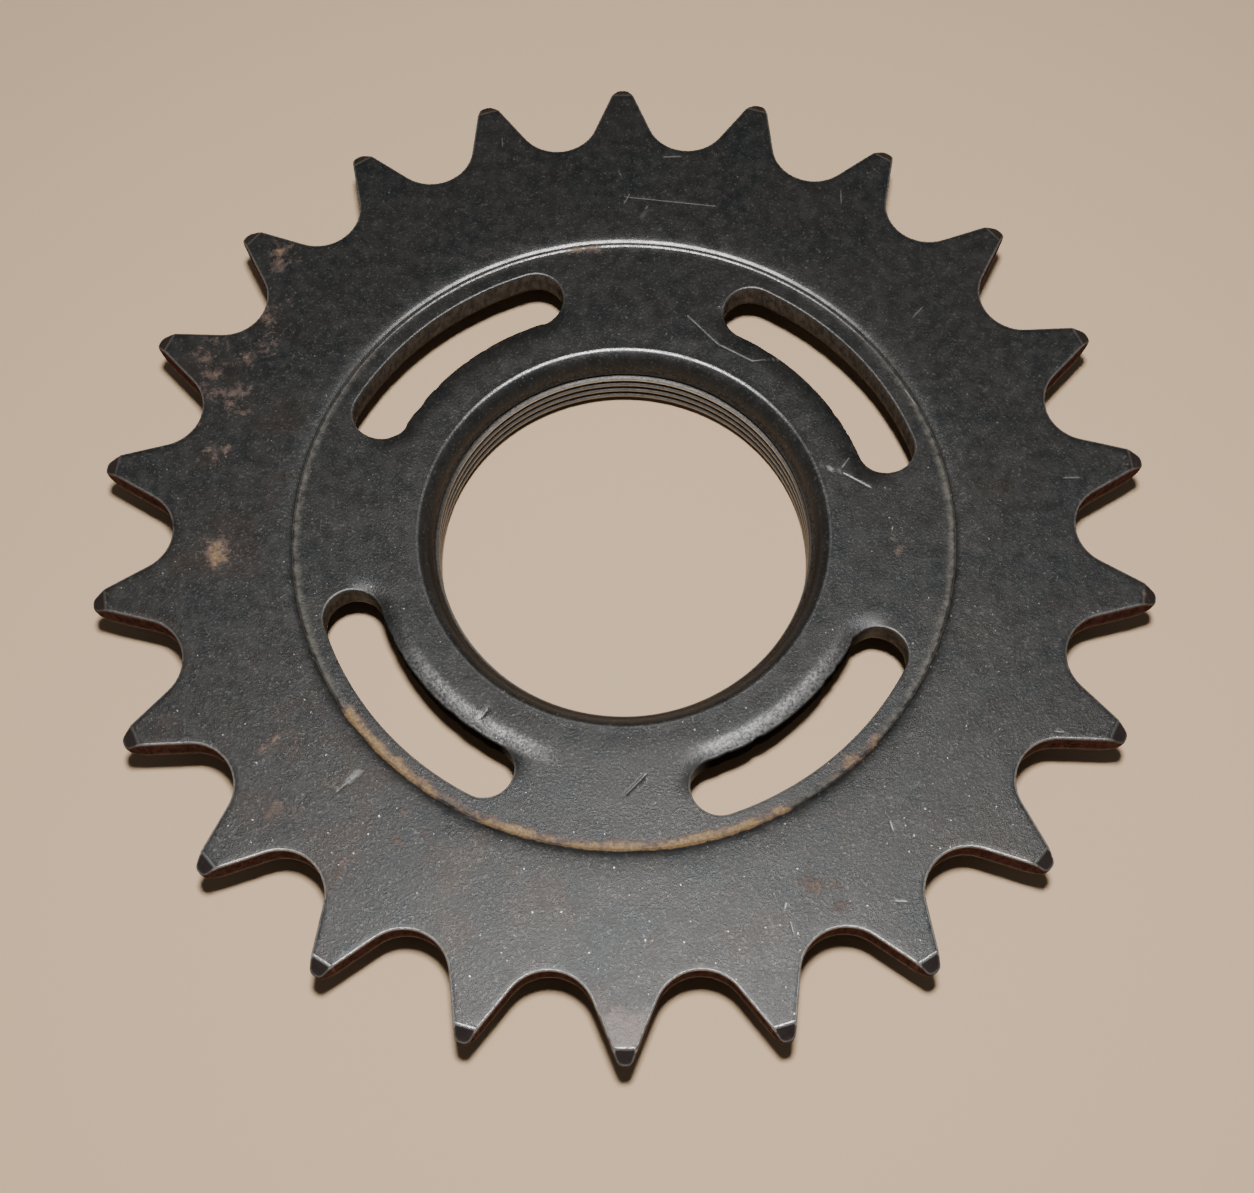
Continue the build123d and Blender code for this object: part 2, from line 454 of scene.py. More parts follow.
# --------------------------------------
# The mesh, gathered piece by piece
class Shell:
    """Points with their wear marks, and faces between them."""

    MARKS = ("cut", "edge", "bore", "dark")

    def __init__(self):
        self.points, self.quads, self.triangles = [], [], []
        self.marks = {name: [] for name in self.MARKS}
        self.count = 0

    def add(self, xy, z, **marks):
        """Adds points at these places and heights, and returns their numbers."""
        xyz = np.column_stack([xy, np.broadcast_to(z, len(xy))])
        self.points.append(xyz)
        for name in self.MARKS:
            self.marks[name].append(np.broadcast_to(np.asarray(marks.get(name, 0.0), float), len(xy)))
        self.count += len(xyz)
        return np.arange(self.count - len(xyz), self.count)

    def strip(self, a, b):
        """A band of faces between two closed loops of as many points."""
        self.quads.append(np.column_stack([a, np.roll(a, -1), np.roll(b, -1), b]))

    def strips(self, loops):
        for a, b in zip(loops[:-1], loops[1:]):
            self.strip(a, b)

    def fill(self, loops, lines, scattered, height, inside):
        """Triangles over the area that the loops bound, through the lines and the scattered points."""
        known = np.concatenate(loops)
        every = np.concatenate(self.points)
        start = 0
        edges, places = [], [every[known][:, :2]]
        for loop in loops:
            ids = np.arange(start, start + len(loop))
            edges += zip(ids.tolist(), np.roll(ids, -1).tolist())
            start += len(loop)
        for line in lines:
            ids = np.arange(start, start + len(line))
            edges += zip(ids[:-1].tolist(), ids[1:].tolist())
            places.append(line)
            start += len(line)
        places.append(scattered)
        vectors = [Vector(p) for p in np.concatenate(places).tolist()]
        verts, _, faces, origin, _, _ = delaunay_2d_cdt(vectors, edges, [], 0, 1e-5)
        at = np.array([tuple(v) for v in verts])
        tri = np.array([f for f in faces if len(f) == 3])
        tri = tri[enclosed(tri, at, len(known), origin, edges, inside)]
        number = np.full(len(at), -1)
        for i, sources in enumerate(origin):
            for s in sources:
                if s < len(known):
                    number[i] = known[s]
        used = np.zeros(len(at), bool)
        used[tri] = True
        fresh = used & (number < 0)
        number[fresh] = self.add(at[fresh], height(at[fresh]))
        self.triangles.append(number[tri])

    def mesh(self, name):
        """The gathered mesh in metres, welded, with its marks as attributes."""
        points = np.concatenate(self.points)
        faces = np.concatenate(self.quads).tolist() + np.concatenate(self.triangles).tolist()
        mesh = bpy.data.meshes.new(name)
        mesh.from_pydata((points * MM).tolist(), [], faces)
        for mark in self.MARKS:
            attribute = mesh.attributes.new(mark, "FLOAT", "POINT")
            attribute.data.foreach_set("value", np.concatenate(self.marks[mark]).astype(np.float32))
        solid = bmesh.new()
        solid.from_mesh(mesh)
        bmesh.ops.remove_doubles(solid, verts=solid.verts, dist=WELD * MM)
        bmesh.ops.recalc_face_normals(solid, faces=solid.faces)
        solid.to_mesh(mesh)
        solid.free()
        mesh.shade_smooth()
        where = np.empty(len(mesh.vertices) * 3, np.float32)
        mesh.vertices.foreach_get("co", where)
        where = where.reshape(-1, 3).astype(float) / MM
        above = where[:, 2] > WEB_UNDER + PLATE / 2
        for mark, value in (("rust", rusted(where[:, :2])), ("worn", scratched(where[:, :2])[1])):
            attribute = mesh.attributes.new(mark, "FLOAT", "POINT")
            attribute.data.foreach_set("value", np.where(above, value, 0).astype(np.float32))
        return mesh


def enclosed(tri, at, known, origin, edges, inside):
    """Which triangles lie in a patch that the loops enclose and whose middles pass the test."""
    place = np.full(known, -1)
    for i, sources in enumerate(origin):
        for s in sources:
            if s < known:
                place[s] = i
    size = len(at)
    fence = np.array([e for e in edges if max(e) < known])
    fence = np.sort(place[fence], 1)
    fence = np.unique(fence[:, 0] * size + fence[:, 1])
    sides = np.sort(np.concatenate([tri[:, [0, 1]], tri[:, [1, 2]], tri[:, [2, 0]]]), 1)
    keys = sides[:, 0] * size + sides[:, 1]
    owner = np.tile(np.arange(len(tri)), 3)
    order = np.argsort(keys, kind="stable")
    keys, owner = keys[order], owner[order]
    pair = (keys[:-1] == keys[1:]) & ~np.isin(keys[:-1], fence)
    label = np.arange(len(tri))
    first, second = owner[:-1][pair], owner[1:][pair]
    while True:
        low = np.minimum(label[first], label[second])
        before = label.copy()
        np.minimum.at(label, first, low)
        np.minimum.at(label, second, low)
        label = label[label]
        if (label == before).all():
            break
    a, b, c = at[tri[:, 0]], at[tri[:, 1]], at[tri[:, 2]]
    area = np.abs((b - a)[:, 0] * (c - a)[:, 1] - (b - a)[:, 1] * (c - a)[:, 0])
    passed = inside((a + b + c) / 3)
    once = np.append(True, keys[1:] != keys[:-1]) & np.append(keys[1:] != keys[:-1], True)
    area[owner[once & ~np.isin(keys, fence)]] = np.inf
    total = np.bincount(label, area, len(tri))
    good = np.bincount(label, np.where(passed, area, 0), len(tri))
    return (np.isfinite(total) & (good > total / 2))[label]


def scatter(spacing, low, high, keep):
    """Points in staggered rings between two radii, slightly moved at random, where keep allows."""
    rings = []
    row = spacing * 0.87  # the height of an even triangle
    for k, r in enumerate(np.arange(low, high, row)):
        count = round(2 * math.pi * r / spacing)
        rings.append(polar(r, (np.arange(count) + 0.5 * (k % 2)) * 360 / count))
    p = np.concatenate(rings)
    p = p + rng.uniform(-0.07, 0.07, p.shape) * spacing
    return p[keep(p)]


def bevel_lines(inset):
    """Two arcs across every tooth, just inside and outside the bevel's start. They stop this far
    inside the toothed outline."""
    s, c = math.sin(SEAT_HALF_ANGLE), math.cos(SEAT_HALF_ANGLE)
    start = np.array([(SEAT_R + inset) * s, PITCH_R - (SEAT_R + inset) * c])
    along = np.array([c, s])
    lines = []
    for r in (BEVEL_R - BEVEL_EASE, BEVEL_R + BEVEL_EASE):
        end = start + run_to_circle(start, along, r) * along
        half = TOOTH_STEP / 2 - math.degrees(math.atan2(end[0], end[1]))
        for k in range(TEETH):
            lines.append(polar(r, 90 + k * TOOTH_STEP + np.linspace(-half * 0.97, half * 0.97, 9)))
    return lines


def wear_lines():
    """The scratches as lines of points, with lines on both sides to hold their width."""
    lines = []
    for line, width, *_ in SCRATCHES:
        middle = line_points(line, 0.2)
        way = np.gradient(middle, axis=0)
        way /= np.hypot(*way.T)[:, None]
        across = np.column_stack([-way[:, 1], way[:, 0]]) * width
        lines.append(middle)
        for share in (-2.1, -1.15, 1.15, 2.1):
            lines.append(middle[1:-1] + share * across[1:-1])
    return lines


def clear_of_wear(p):
    """True where no scratch needs its own finer points."""
    clear = np.ones(len(p), bool)
    for line, width, *_ in SCRATCHES:
        clear &= along_line(p, corners_of(line))[0] > width * 2.1 + 0.12
    return clear


def in_rim(p):
    return (radius_of(p) > BAND_OUTER_R) & (tooth_depth(p) > 0)


def in_web(p):
    r = radius_of(p)
    return (r < BAND_INNER_R) & (slot_distance(p)[0] > SLOT_BAND) & (r > WEB_INNER_R)


def in_under_rim(p):
    return (radius_of(p) > UNDER_BAND_OUTER_R) & (tooth_depth(p) > 0)


def in_under_web(p):
    r = radius_of(p)
    return (r < UNDER_BAND_INNER_R) & (slot_distance(p)[0] > 0) & (r > COLLAR_OUTER_R)


def cut_wall(shell, xy, outs, rough, worn, dark=0.0):
    """The rounded upper edge, the cut wall and the lower edge of one outline, from above to below.
    rough is the wall's unevenness, worn the bareness of the edges, dark the share of painted shade,
    near-black on the wall where it lies in shade. Returns the outermost loops on the two faces."""
    nick = rough * cut_wave(xy * 1.7)
    upper = top_height(xy - outs * EDGE)
    lower = under_height(xy - outs * EDGE)
    tall = upper - lower
    bare = 1 - dark
    loops = [
        shell.add(xy - outs * EDGE, upper),
        shell.add(xy - outs * EDGE * 0.48, upper - EDGE * 0.13, edge=worn * bare),
        shell.add(xy - outs * EDGE * 0.15, upper - EDGE * 0.37, edge=worn * bare, dark=0.2 * dark),
        shell.add(xy, upper - EDGE * 0.80, edge=0.3 * worn * bare, cut=0.7 * bare, dark=0.8 * dark),
    ]
    for share, inset in ((0.14, 0.0), (0.36, 0.0), (0.50, 0.02), (0.62, 0.05), (0.80, 0.07)):
        jag = rough * cut_wave(xy * 2.6 + share * 40) * share
        at = xy - outs * (inset + np.abs(jag))[:, None]
        loops.append(shell.add(at, upper - tall * share, cut=bare, dark=dark))
    last = 0.08 + np.abs(nick)
    loops += [
        shell.add(xy - outs * last[:, None], lower + 0.09, cut=0.8 * bare, edge=0.3 * worn, dark=dark),
        shell.add(xy - outs * (last + 0.05)[:, None], lower + 0.02, cut=0.4 * bare, edge=0.6 * worn),
        shell.add(xy - outs * (last + 0.16)[:, None], lower, edge=0.1),
    ]
    shell.strips(loops)
    return loops[0], loops[-1]


def step_band(shell):
    """The rolled edge of the rim, the small wall and the fillet at its foot, from outside to inside."""
    top = circle(1, STEP_COUNT)
    loops = []
    for outwards in STEP_RINGS:
        xy = top * (STEP_R + outwards)
        loops.append(shell.add(xy, top_height(xy)))
    brink = shell.points[-1][:, 2]
    wobble = 0.012 * cut_wave(top * 30)
    foot = WEB_TOP + STEP_FILLET
    wall = np.maximum(brink - 0.05, foot - 0.12)
    loops.append(shell.add(top * (STEP_R + wobble)[:, None], wall, cut=0.5))
    for f in np.radians((25, 45, 65, 90)):
        r = STEP_R - STEP_FILLET * (1 - math.cos(f))
        xy = top * (r + wobble)[:, None]
        loops.append(shell.add(xy, np.minimum(brink - 0.07, foot - STEP_FILLET * math.sin(f))))
    xy = top * BAND_INNER_R
    loops.append(shell.add(xy, top_height(xy)))
    shell.strips(loops)
    return loops[0], loops[-1]


def under_band(shell):
    """The step on the lower face, where the web stands proud of the rim."""
    ring = circle(1, STEP_COUNT // 2)
    section = [
        (UNDER_BAND_OUTER_R, RIM_UNDER),
        (UNDER_STEP_R + 0.30, RIM_UNDER),
        (UNDER_STEP_R + 0.10, RIM_UNDER - 0.03),
        (UNDER_STEP_R + 0.03, RIM_UNDER - 0.10),
        (UNDER_STEP_R, WEB_UNDER + 0.14),
        (UNDER_STEP_R - 0.05, WEB_UNDER + 0.05),
        (UNDER_STEP_R - 0.16, WEB_UNDER),
        (UNDER_BAND_INNER_R, WEB_UNDER),
    ]
    wave = under_wave(ring * UNDER_STEP_R)
    loops = []
    for k, (r, z) in enumerate(section):
        xy = ring * r
        level = under_height(xy) if k in (0, len(section) - 1) else z + wave
        loops.append(shell.add(xy, level, edge=0.6 if k in (5, 6) else 0.0))
    shell.strips(loops)
    return loops[0], loops[-1]


def mouth_section():
    """The rounded way into the bore, from the crease to where the thread takes over."""
    crease = np.array([LIP_R, WEB_TOP - LIP_DIP])
    end = np.array([MOUTH_R, MOUTH_Z])
    chord = crease - end
    through = (crease + end) / 2 + np.array([-chord[1], chord[0]]) * MOUTH_BULGE / np.hypot(*chord)
    # the circle through the three points
    rows = np.array([through - crease, end - crease]) * 2
    squares = [p @ p - crease @ crease for p in (through, end)]
    centre = np.linalg.solve(rows, squares)
    first, last = (math.atan2(*(p - centre)[::-1]) for p in (crease, end))
    radius = math.hypot(*(crease - centre))
    return [centre + radius * np.array([math.cos(f), math.sin(f)]) for f in np.linspace(first, last, 9)]


def thread_radius(z, turn):
    """The bore's radius at heights and shares of a turn: V grooves that climb with the turn."""
    phase = np.abs((z / THREAD_PITCH - turn + 0.5) % 1 - 0.5)
    groove = THREAD_DEPTH * np.interp(phase, [0.10, 0.16, 0.40, 0.46], [0, 0.07, 0.93, 1])
    groove = groove * (1 - smooth(z, THREAD_START_Z + 0.15, MOUTH_Z - 0.02))
    cone = np.interp(z, [THREAD_START_Z, MOUTH_Z], [0, MOUTH_R - THREAD_MINOR_R])
    low_reach = COLLAR_CHAMFER + THREAD_DEPTH
    low = np.interp(z, [0, low_reach], [low_reach, 0])
    return THREAD_MINOR_R + np.maximum(np.maximum(groove, cone), low)


def mouth(shell):
    """The lip and the rounded mouth, from above to below. Returns the outermost loop."""
    ring = circle(1, BORE_COUNT)
    loops = []
    for outwards in LIP_RINGS:
        xy = ring * (LIP_R + outwards)
        loops.append(shell.add(xy, top_height(xy)))
    web_wave = shell.points[-1][:, 2] - (WEB_TOP - LIP_DIP)
    section = mouth_section()
    for k, (r, z) in enumerate(section):
        down = k / (len(section) - 1)
        loops.append(shell.add(ring * r, z + web_wave * (1 - down), bore=0.15 * down))
    shell.strips(loops)
    return loops[0]


def thread(shell):
    """The thread from its upper end to the collar's lower end, in rows that climb one pitch a turn."""
    per_pitch = (0.0, 0.10, 0.16, 0.28, 0.40, 0.46, 0.50, 0.54, 0.60, 0.72, 0.84, 0.90)
    turn = np.arange(BORE_COUNT + 1) / BORE_COUNT
    ring = circle(1, BORE_COUNT)
    around = np.append(ring, ring[:1], 0)
    first, last = -2, math.ceil(MOUTH_Z / THREAD_PITCH) + 1
    levels = [(n + f) * THREAD_PITCH for n in range(first, last) for f in per_pitch]
    rows = []
    for level in sorted(levels, reverse=True):
        z = np.clip(level + THREAD_PITCH * turn, 0, MOUTH_Z)
        r = thread_radius(z, turn)
        crest = 1 - smooth(r, THREAD_MINOR_R, THREAD_MINOR_R + 0.25)
        crest = crest * (1 - smooth(z, THREAD_START_Z, MOUTH_Z))
        rows.append(shell.add(around * r[:, None], z, bore=1.0, edge=crest))
    for a, b in zip(rows[:-1], rows[1:]):
        shell.quads.append(np.column_stack([a[:-1], a[1:], b[1:], b[:-1]]))


def collar(shell):
    """The collar's end, its outside and the fillet to the web. Returns the loop on the web."""
    ring = circle(1, BORE_COUNT)
    section = [
        (THREAD_MAJOR_R + COLLAR_CHAMFER, 0.0),
        (THREAD_MAJOR_R + COLLAR_CHAMFER + 0.08, 0.0),
        (COLLAR_OUTER_R - COLLAR_CHAMFER - 0.05, 0.0),
        (COLLAR_OUTER_R - COLLAR_CHAMFER + 0.04, 0.03),
        (COLLAR_OUTER_R - 0.04, COLLAR_CHAMFER - 0.05),
        (COLLAR_OUTER_R, COLLAR_CHAMFER + 0.06),
    ]
    for f in np.radians((0, 22, 45, 68, 90)):
        r = COLLAR_OUTER_R + COLLAR_FILLET * (1 - math.cos(f))
        section.append((r, WEB_UNDER - COLLAR_FILLET * (1 - math.sin(f))))
    section.append((UNDER_INNER_R, WEB_UNDER))
    loops = []
    for k, (r, z) in enumerate(section):
        xy = ring * r
        level = under_height(xy) if k == len(section) - 1 else z
        edge, bore = (0.6 if k in (2, 3, 4, 5) else 0.0), (0.3 if k == 0 else 0.0)
        loops.append(shell.add(xy, level, edge=edge, bore=bore))
    shell.strips(loops)
    return loops[-1]


def slot_walls(shell):
    """The slots' walls, nicked along their inner edges, and the ruled strips round them.
    Returns the outermost loops on the upper and on the lower face."""
    tops, unders = [], []
    for middle in SLOT_MIDDLES:
        xy, outs = slotted(middle)
        inner = slot_distance(xy)[1]
        bite = 0.075 * np.clip(cut_wave(xy * 0.8) + 0.4 * cut_wave(xy * 2.3) - 0.3, 0, 1.6) * inner
        xy = xy - outs * bite[:, None]
        # inner is passed as dark: the slots' inner walls get painted shade, near-black
        edge_top, edge_under = cut_wall(shell, xy, outs, 0.025, 0.6, inner)
        rings = [edge_top]
        for away in (0.26, 0.46, 0.68, SLOT_BAND):
            at = xy - outs * away
            rings.append(shell.add(at, top_height(at)))
        shell.strips(rings)
        tops.append(rings[-1])
        unders.append(edge_under)
    return tops, unders


def clipped(lines, test):
    """The stretches of the lines that pass the test."""
    out = []
    for line in lines:
        good = np.concatenate([[False], test(line), [False]]).astype(int)
        starts, ends = np.flatnonzero(np.diff(good) == 1), np.flatnonzero(np.diff(good) == -1)
        out += [line[a:b] for a, b in zip(starts, ends) if b - a > 1]
    return out


def fill_above(shell, rim_loops, web_loops):
    """The upper faces of the rim and the web, with finer points along the scratches."""
    near = 0.6 * TOP_SPACING
    wear = wear_lines()

    def keep_rim(p):
        r = radius_of(p)
        clear = (tooth_depth(p) > EDGE + near) & (r > BAND_OUTER_R + near)
        return clear & (np.abs(r - BEVEL_R) > BEVEL_EASE + near * 0.7) & clear_of_wear(p)

    def keep_web(p):
        r = radius_of(p)
        clear = (slot_distance(p)[0] > SLOT_BAND + near * 0.8) & (r < BAND_INNER_R - near * 0.8)
        return clear & (r > WEB_INNER_R + near) & clear_of_wear(p)

    def on_rim(p):
        return (tooth_depth(p) > EDGE + 0.15) & (radius_of(p) > BAND_OUTER_R + 0.15)

    def on_web(p):
        r = radius_of(p)
        between = (r > WEB_INNER_R + 0.15) & (r < BAND_INNER_R - 0.1)
        return between & (slot_distance(p)[0] > SLOT_BAND + 0.08)

    lines = bevel_lines(EDGE + 0.1) + clipped(wear, on_rim)
    points = scatter(TOP_SPACING, BAND_OUTER_R, TIP_R, keep_rim)
    shell.fill(rim_loops, lines, points, top_height, in_rim)
    points = scatter(TOP_SPACING, WEB_INNER_R, STEP_R, keep_web)
    shell.fill(web_loops, clipped(wear, on_web), points, top_height, in_web)


def fill_below(shell, rim_loops, web_loops):
    """The lower faces of the rim and the web."""
    near = 0.6 * UNDER_SPACING

    def keep_rim(p):
        return (tooth_depth(p) > 0.3 + near) & (radius_of(p) > UNDER_BAND_OUTER_R + near)

    def keep_web(p):
        r = radius_of(p)
        clear = (slot_distance(p)[0] > 0.3 + near) & (r < UNDER_BAND_INNER_R - near * 0.5)
        return clear & (r > UNDER_INNER_R + near)

    points = scatter(UNDER_SPACING, UNDER_BAND_OUTER_R, TIP_R, keep_rim)
    shell.fill(rim_loops, bevel_lines(0.4), points, under_height, in_under_rim)
    points = scatter(UNDER_SPACING, COLLAR_OUTER_R, UNDER_STEP_R, keep_web)
    shell.fill(web_loops, [], points, under_height, in_under_web)


def sprocket_mesh():
    """The whole sprocket as one closed mesh."""
    shell = Shell()
    xy, outs = toothed()
    rim_top, rim_under = cut_wall(shell, xy, outs, 0.012, 1.0)
    slot_tops, slot_unders = slot_walls(shell)
    band_outer, band_inner = step_band(shell)
    under_outer, under_inner = under_band(shell)
    mouth_top = mouth(shell)
    thread(shell)
    collar_top = collar(shell)
    fill_above(shell, [rim_top, band_outer], [band_inner, mouth_top, *slot_tops])
    fill_below(shell, [rim_under, under_outer], [under_inner, collar_top, *slot_unders])
    return shell.mesh("sprocket_visual")


mesh = sprocket_mesh()
body = bpy.data.objects.new("sprocket_body", mesh)
bpy.context.scene.collection.objects.link(body)
steady = body.modifiers.new("steady_normals", "WEIGHTED_NORMAL")
steady.weight = 50


# --------------------------------------
# The finish: blackened steel with a mottled oxide skin, worn edges, brown sheared walls and light rust, with
# painted highlights and painted shade
class Finish:
    """A material being built. Every method but put returns the socket that carries its result.
    Lengths are in millimetres."""

    def __init__(self, name):
        self.material = bpy.data.materials.new(name)
        self.material.use_nodes = True
        self.tree = self.material.node_tree
        self.shader = self.tree.nodes["Principled BSDF"]
        place = self.tree.nodes.new("ShaderNodeTexCoord").outputs["Object"]
        scaled = self.tree.nodes.new("ShaderNodeVectorMath")
        scaled.operation = "SCALE"
        scaled.inputs["Scale"].default_value = 1 / MM
        self.tree.links.new(place, scaled.inputs[0])
        self.place = scaled.outputs[0]

        split = self.tree.nodes.new("ShaderNodeSeparateXYZ")
        self.put(split.inputs[0], self.place)
        self.across, self.along, self.height = split.outputs
        square = self.math("MULTIPLY", self.across, self.across)
        square = self.math("MULTIPLY_ADD", self.along, self.along, square)
        self.radius = self.math("SQRT", square)
        self.above = self.span(self.height, WEB_UNDER + 1.2, WEB_UNDER + 1.6)

        self.cut, self.edge, self.bore, self.dark = (self.mark(name) for name in Shell.MARKS)
        self.rust, self.worn = self.mark("rust"), self.mark("worn")
        self.crest = self.times(self.bore, self.edge)
        self.mottle = self.noise(1.3, 5, 0.65)
        self.grain = self.noise(0.26, 4, 0.75)
        self.ragged = self.noise(0.85, 6, 0.72)
        self.streaks = self.noise(0.5, 4, 0.65, self.stretched(1.0, 1.0, 0.35))

    def put(self, socket, value):
        """Sets an input to a number or a colour, or joins it to another socket."""
        if isinstance(value, bpy.types.NodeSocket):
            self.tree.links.new(value, socket)
        elif isinstance(value, tuple) and len(value) == 3 and len(socket.default_value) == 4:
            socket.default_value = (*value, 1)
        else:
            socket.default_value = value

    def mark(self, name):
        node = self.tree.nodes.new("ShaderNodeAttribute")
        node.attribute_name = name
        return node.outputs["Fac"]

    def stretched(self, x, y, z):
        node = self.tree.nodes.new("ShaderNodeVectorMath")
        node.operation = "MULTIPLY"
        self.put(node.inputs[0], self.place)
        node.inputs[1].default_value = (x, y, z)
        return node.outputs[0]

    def noise(self, size, detail, rough=0.55, at=None):
        """Cloudy noise about 0.5, with features of this size."""
        node = self.tree.nodes.new("ShaderNodeTexNoise")
        self.put(node.inputs["Vector"], at or self.place)
        node.inputs["Scale"].default_value = 1 / size
        node.inputs["Detail"].default_value = detail
        node.inputs["Roughness"].default_value = rough
        return node.outputs["Fac"]

    def spots(self, size):
        """The distance from the nearest of many scattered points, in shares of the size."""
        node = self.tree.nodes.new("ShaderNodeTexVoronoi")
        self.put(node.inputs["Vector"], self.place)
        node.inputs["Scale"].default_value = 1 / size
        return node.outputs["Distance"]

    def math(self, operation, a, b=0.0, c=0.0):
        node = self.tree.nodes.new("ShaderNodeMath")
        node.operation = operation
        for socket, value in zip(node.inputs, (a, b, c)):
            self.put(socket, value)
        return node.outputs[0]

    def times(self, first, *others):
        """The product of all the values."""
        for value in others:
            first = self.math("MULTIPLY", first, value)
        return first

    def most(self, first, *others):
        """The largest of the values."""
        for value in others:
            first = self.math("MAXIMUM", first, value)
        return first

    def less(self, value):
        """What is left of 1 without the value."""
        return self.math("SUBTRACT", 1.0, value)

    def stirred(self, value, noise, middle, strength):
        """The value with a noise added, which leaves it alone where the noise is at its middle."""
        return self.math("MULTIPLY_ADD", self.math("SUBTRACT", noise, middle), strength, value)

    def span(self, value, low, high, to_low=0.0, to_high=1.0):
        """The value taken smoothly from one span to another."""
        node = self.tree.nodes.new("ShaderNodeMapRange")
        node.interpolation_type = "SMOOTHSTEP"
        names = ("Value", "From Min", "From Max", "To Min", "To Max")
        for name, number in zip(names, (value, low, high, to_low, to_high)):
            self.put(node.inputs[name], number)
        return node.outputs["Result"]

    def ring(self, middle, half_width):
        """1 at one distance from the axis, fading to 0 on both sides."""
        away = self.math("ABSOLUTE", self.math("SUBTRACT", self.radius, middle))
        return self.span(away, half_width * 0.3, half_width, 1, 0)

    def mix(self, share, a, b):
        """Colour a turning into colour b by the share."""
        node = self.tree.nodes.new("ShaderNodeMix")
        node.data_type = "RGBA"
        self.put(node.inputs[0], share)
        self.put(node.inputs[6], a)
        self.put(node.inputs[7], b)
        return node.outputs[2]

    def blend(self, share, a, b):
        """Number a turning into number b by the share."""
        node = self.tree.nodes.new("ShaderNodeMix")
        self.put(node.inputs[0], share)
        self.put(node.inputs[2], a)
        self.put(node.inputs[3], b)
        return node.outputs[0]


def oxide_skin(f):
    """The skin's colour: charcoal, mottled, with darker stains, a brown tint on the rim and a pale grain."""
    skin = f.mix(f.span(f.noise(7, 4), 0.38, 0.62), (0.0168, 0.0182, 0.0186), (0.0245, 0.0230, 0.0206))
    skin = f.mix(f.span(f.mottle, 0.35, 0.75), skin, (0.032, 0.031, 0.029))
    skin = f.mix(f.span(f.noise(3.2, 5, 0.6), 0.58, 0.72, 0, 0.50), skin, (0.013, 0.010, 0.010))
    tint = f.times(
        f.span(f.noise(6.5, 6, 0.68), 0.47, 0.66, 0, 0.65),
        f.span(f.radius, STEP_R - 0.4, STEP_R + 1.6),
        f.span(f.across, 30, -20, 0.40, 1.0),
        f.span(f.along, 30, 8, 0.25, 1.0),
    )
    skin = f.mix(tint, skin, (0.034, 0.0235, 0.0185))
    return f.mix(f.span(f.grain, 0.54, 0.72, 0, 0.75), skin, (0.115, 0.110, 0.103))


def bare_metal_and_highlights(f):
    """The share of pale bare metal: worn edges, scratches and tiny specks, with painted highlights
    on the near edges, the tooth bevels, the crease, the step and beside the near slots.
    """
    # the edges: worn bare metal, made brighter on the -Y side as a painted highlight where they face the
    # light
    edges = f.times(
        f.edge,
        f.span(f.along, -31, -14, 1.0, 0.22),
        f.span(f.mottle, 0.22, 0.46, 0.15, 1.0),
        f.span(f.grain, 0.32, 0.52, 0.40, 1.15),
        f.span(f.radius, BEVEL_R + 0.15, BEVEL_R + 0.35, 1, 0.2),
        f.less(f.bore),
    )
    scratches = f.times(f.worn, f.span(f.grain, 0.24, 0.50, 0.1, 0.8))
    # a pale line where the tooth bevels start, on the -Y side only: partly wear, partly painted highlight
    tip_wear_and_highlight = f.times(
        f.ring(BEVEL_R - 0.02, 0.17),
        f.span(f.along, -27, -42, 0.12, 1.0),
        f.above,
        f.span(f.mottle, 0.20, 0.50, 0.1, 1.0),
    )
    # painted highlight: a pale line along the bore's crease on the +Y side
    crease = f.times(
        f.ring(LIP_R + 0.01, 0.17),
        f.span(f.along, 9.5, 17.0, 0.10, 1.0),
        f.above,
        f.span(f.grain, 0.36, 0.56, 0.18, 0.70),
    )
    # painted highlights on the +Y side: pale lines at the brink of the rim's roll and at the foot of the
    # step
    brink = f.times(f.ring(STEP_R + 0.24, 0.18), f.span(f.mottle, 0.30, 0.62, 0.22, 0.50))
    foot = f.times(f.ring(STEP_R - 0.16, 0.12), f.span(f.grain, 0.36, 0.54, 0.1, 0.55))
    far_step_highlights = f.times(f.most(brink, foot), f.span(f.along, 17, 30), f.above)
    # painted highlight: a pale band on the roll beside the slots on the -Y side
    near_slot_highlight = f.times(
        f.ring(SLOT_INNER_R - 0.75, 1.1),
        f.span(f.along, -8, -15),
        f.span(f.math("ABSOLUTE", f.across), 5.0, 9.0),
        f.above,
        f.span(f.grain, 0.36, 0.62, 0.02, 0.26),
    )
    flecks = f.span(f.stirred(f.spots(0.95), f.grain, 0.5, -0.40), 0.00, 0.07, 0.9, 0)
    # the flecks fade towards +Y: a painted sheen, strongest on the -Y side where the light falls
    flecks = f.times(flecks, f.span(f.along, -25, 15, 1, 0.35))
    return f.most(edges, scratches, tip_wear_and_highlight, crease, far_step_highlights, near_slot_highlight, flecks)


def sheared_wall(f):
    """The cut walls' colour: streaked brown on the teeth, more yellow in the slots."""
    tone = f.span(f.streaks, 0.35, 0.65)
    on_teeth = f.mix(tone, (0.058, 0.0265, 0.0235), (0.118, 0.056, 0.048))
    in_slots = f.mix(tone, (0.078, 0.061, 0.047), (0.150, 0.120, 0.094))
    return f.mix(f.span(f.radius, STEP_R + 0.1, STEP_R + 1.1, 1, 0), on_teeth, in_slots)


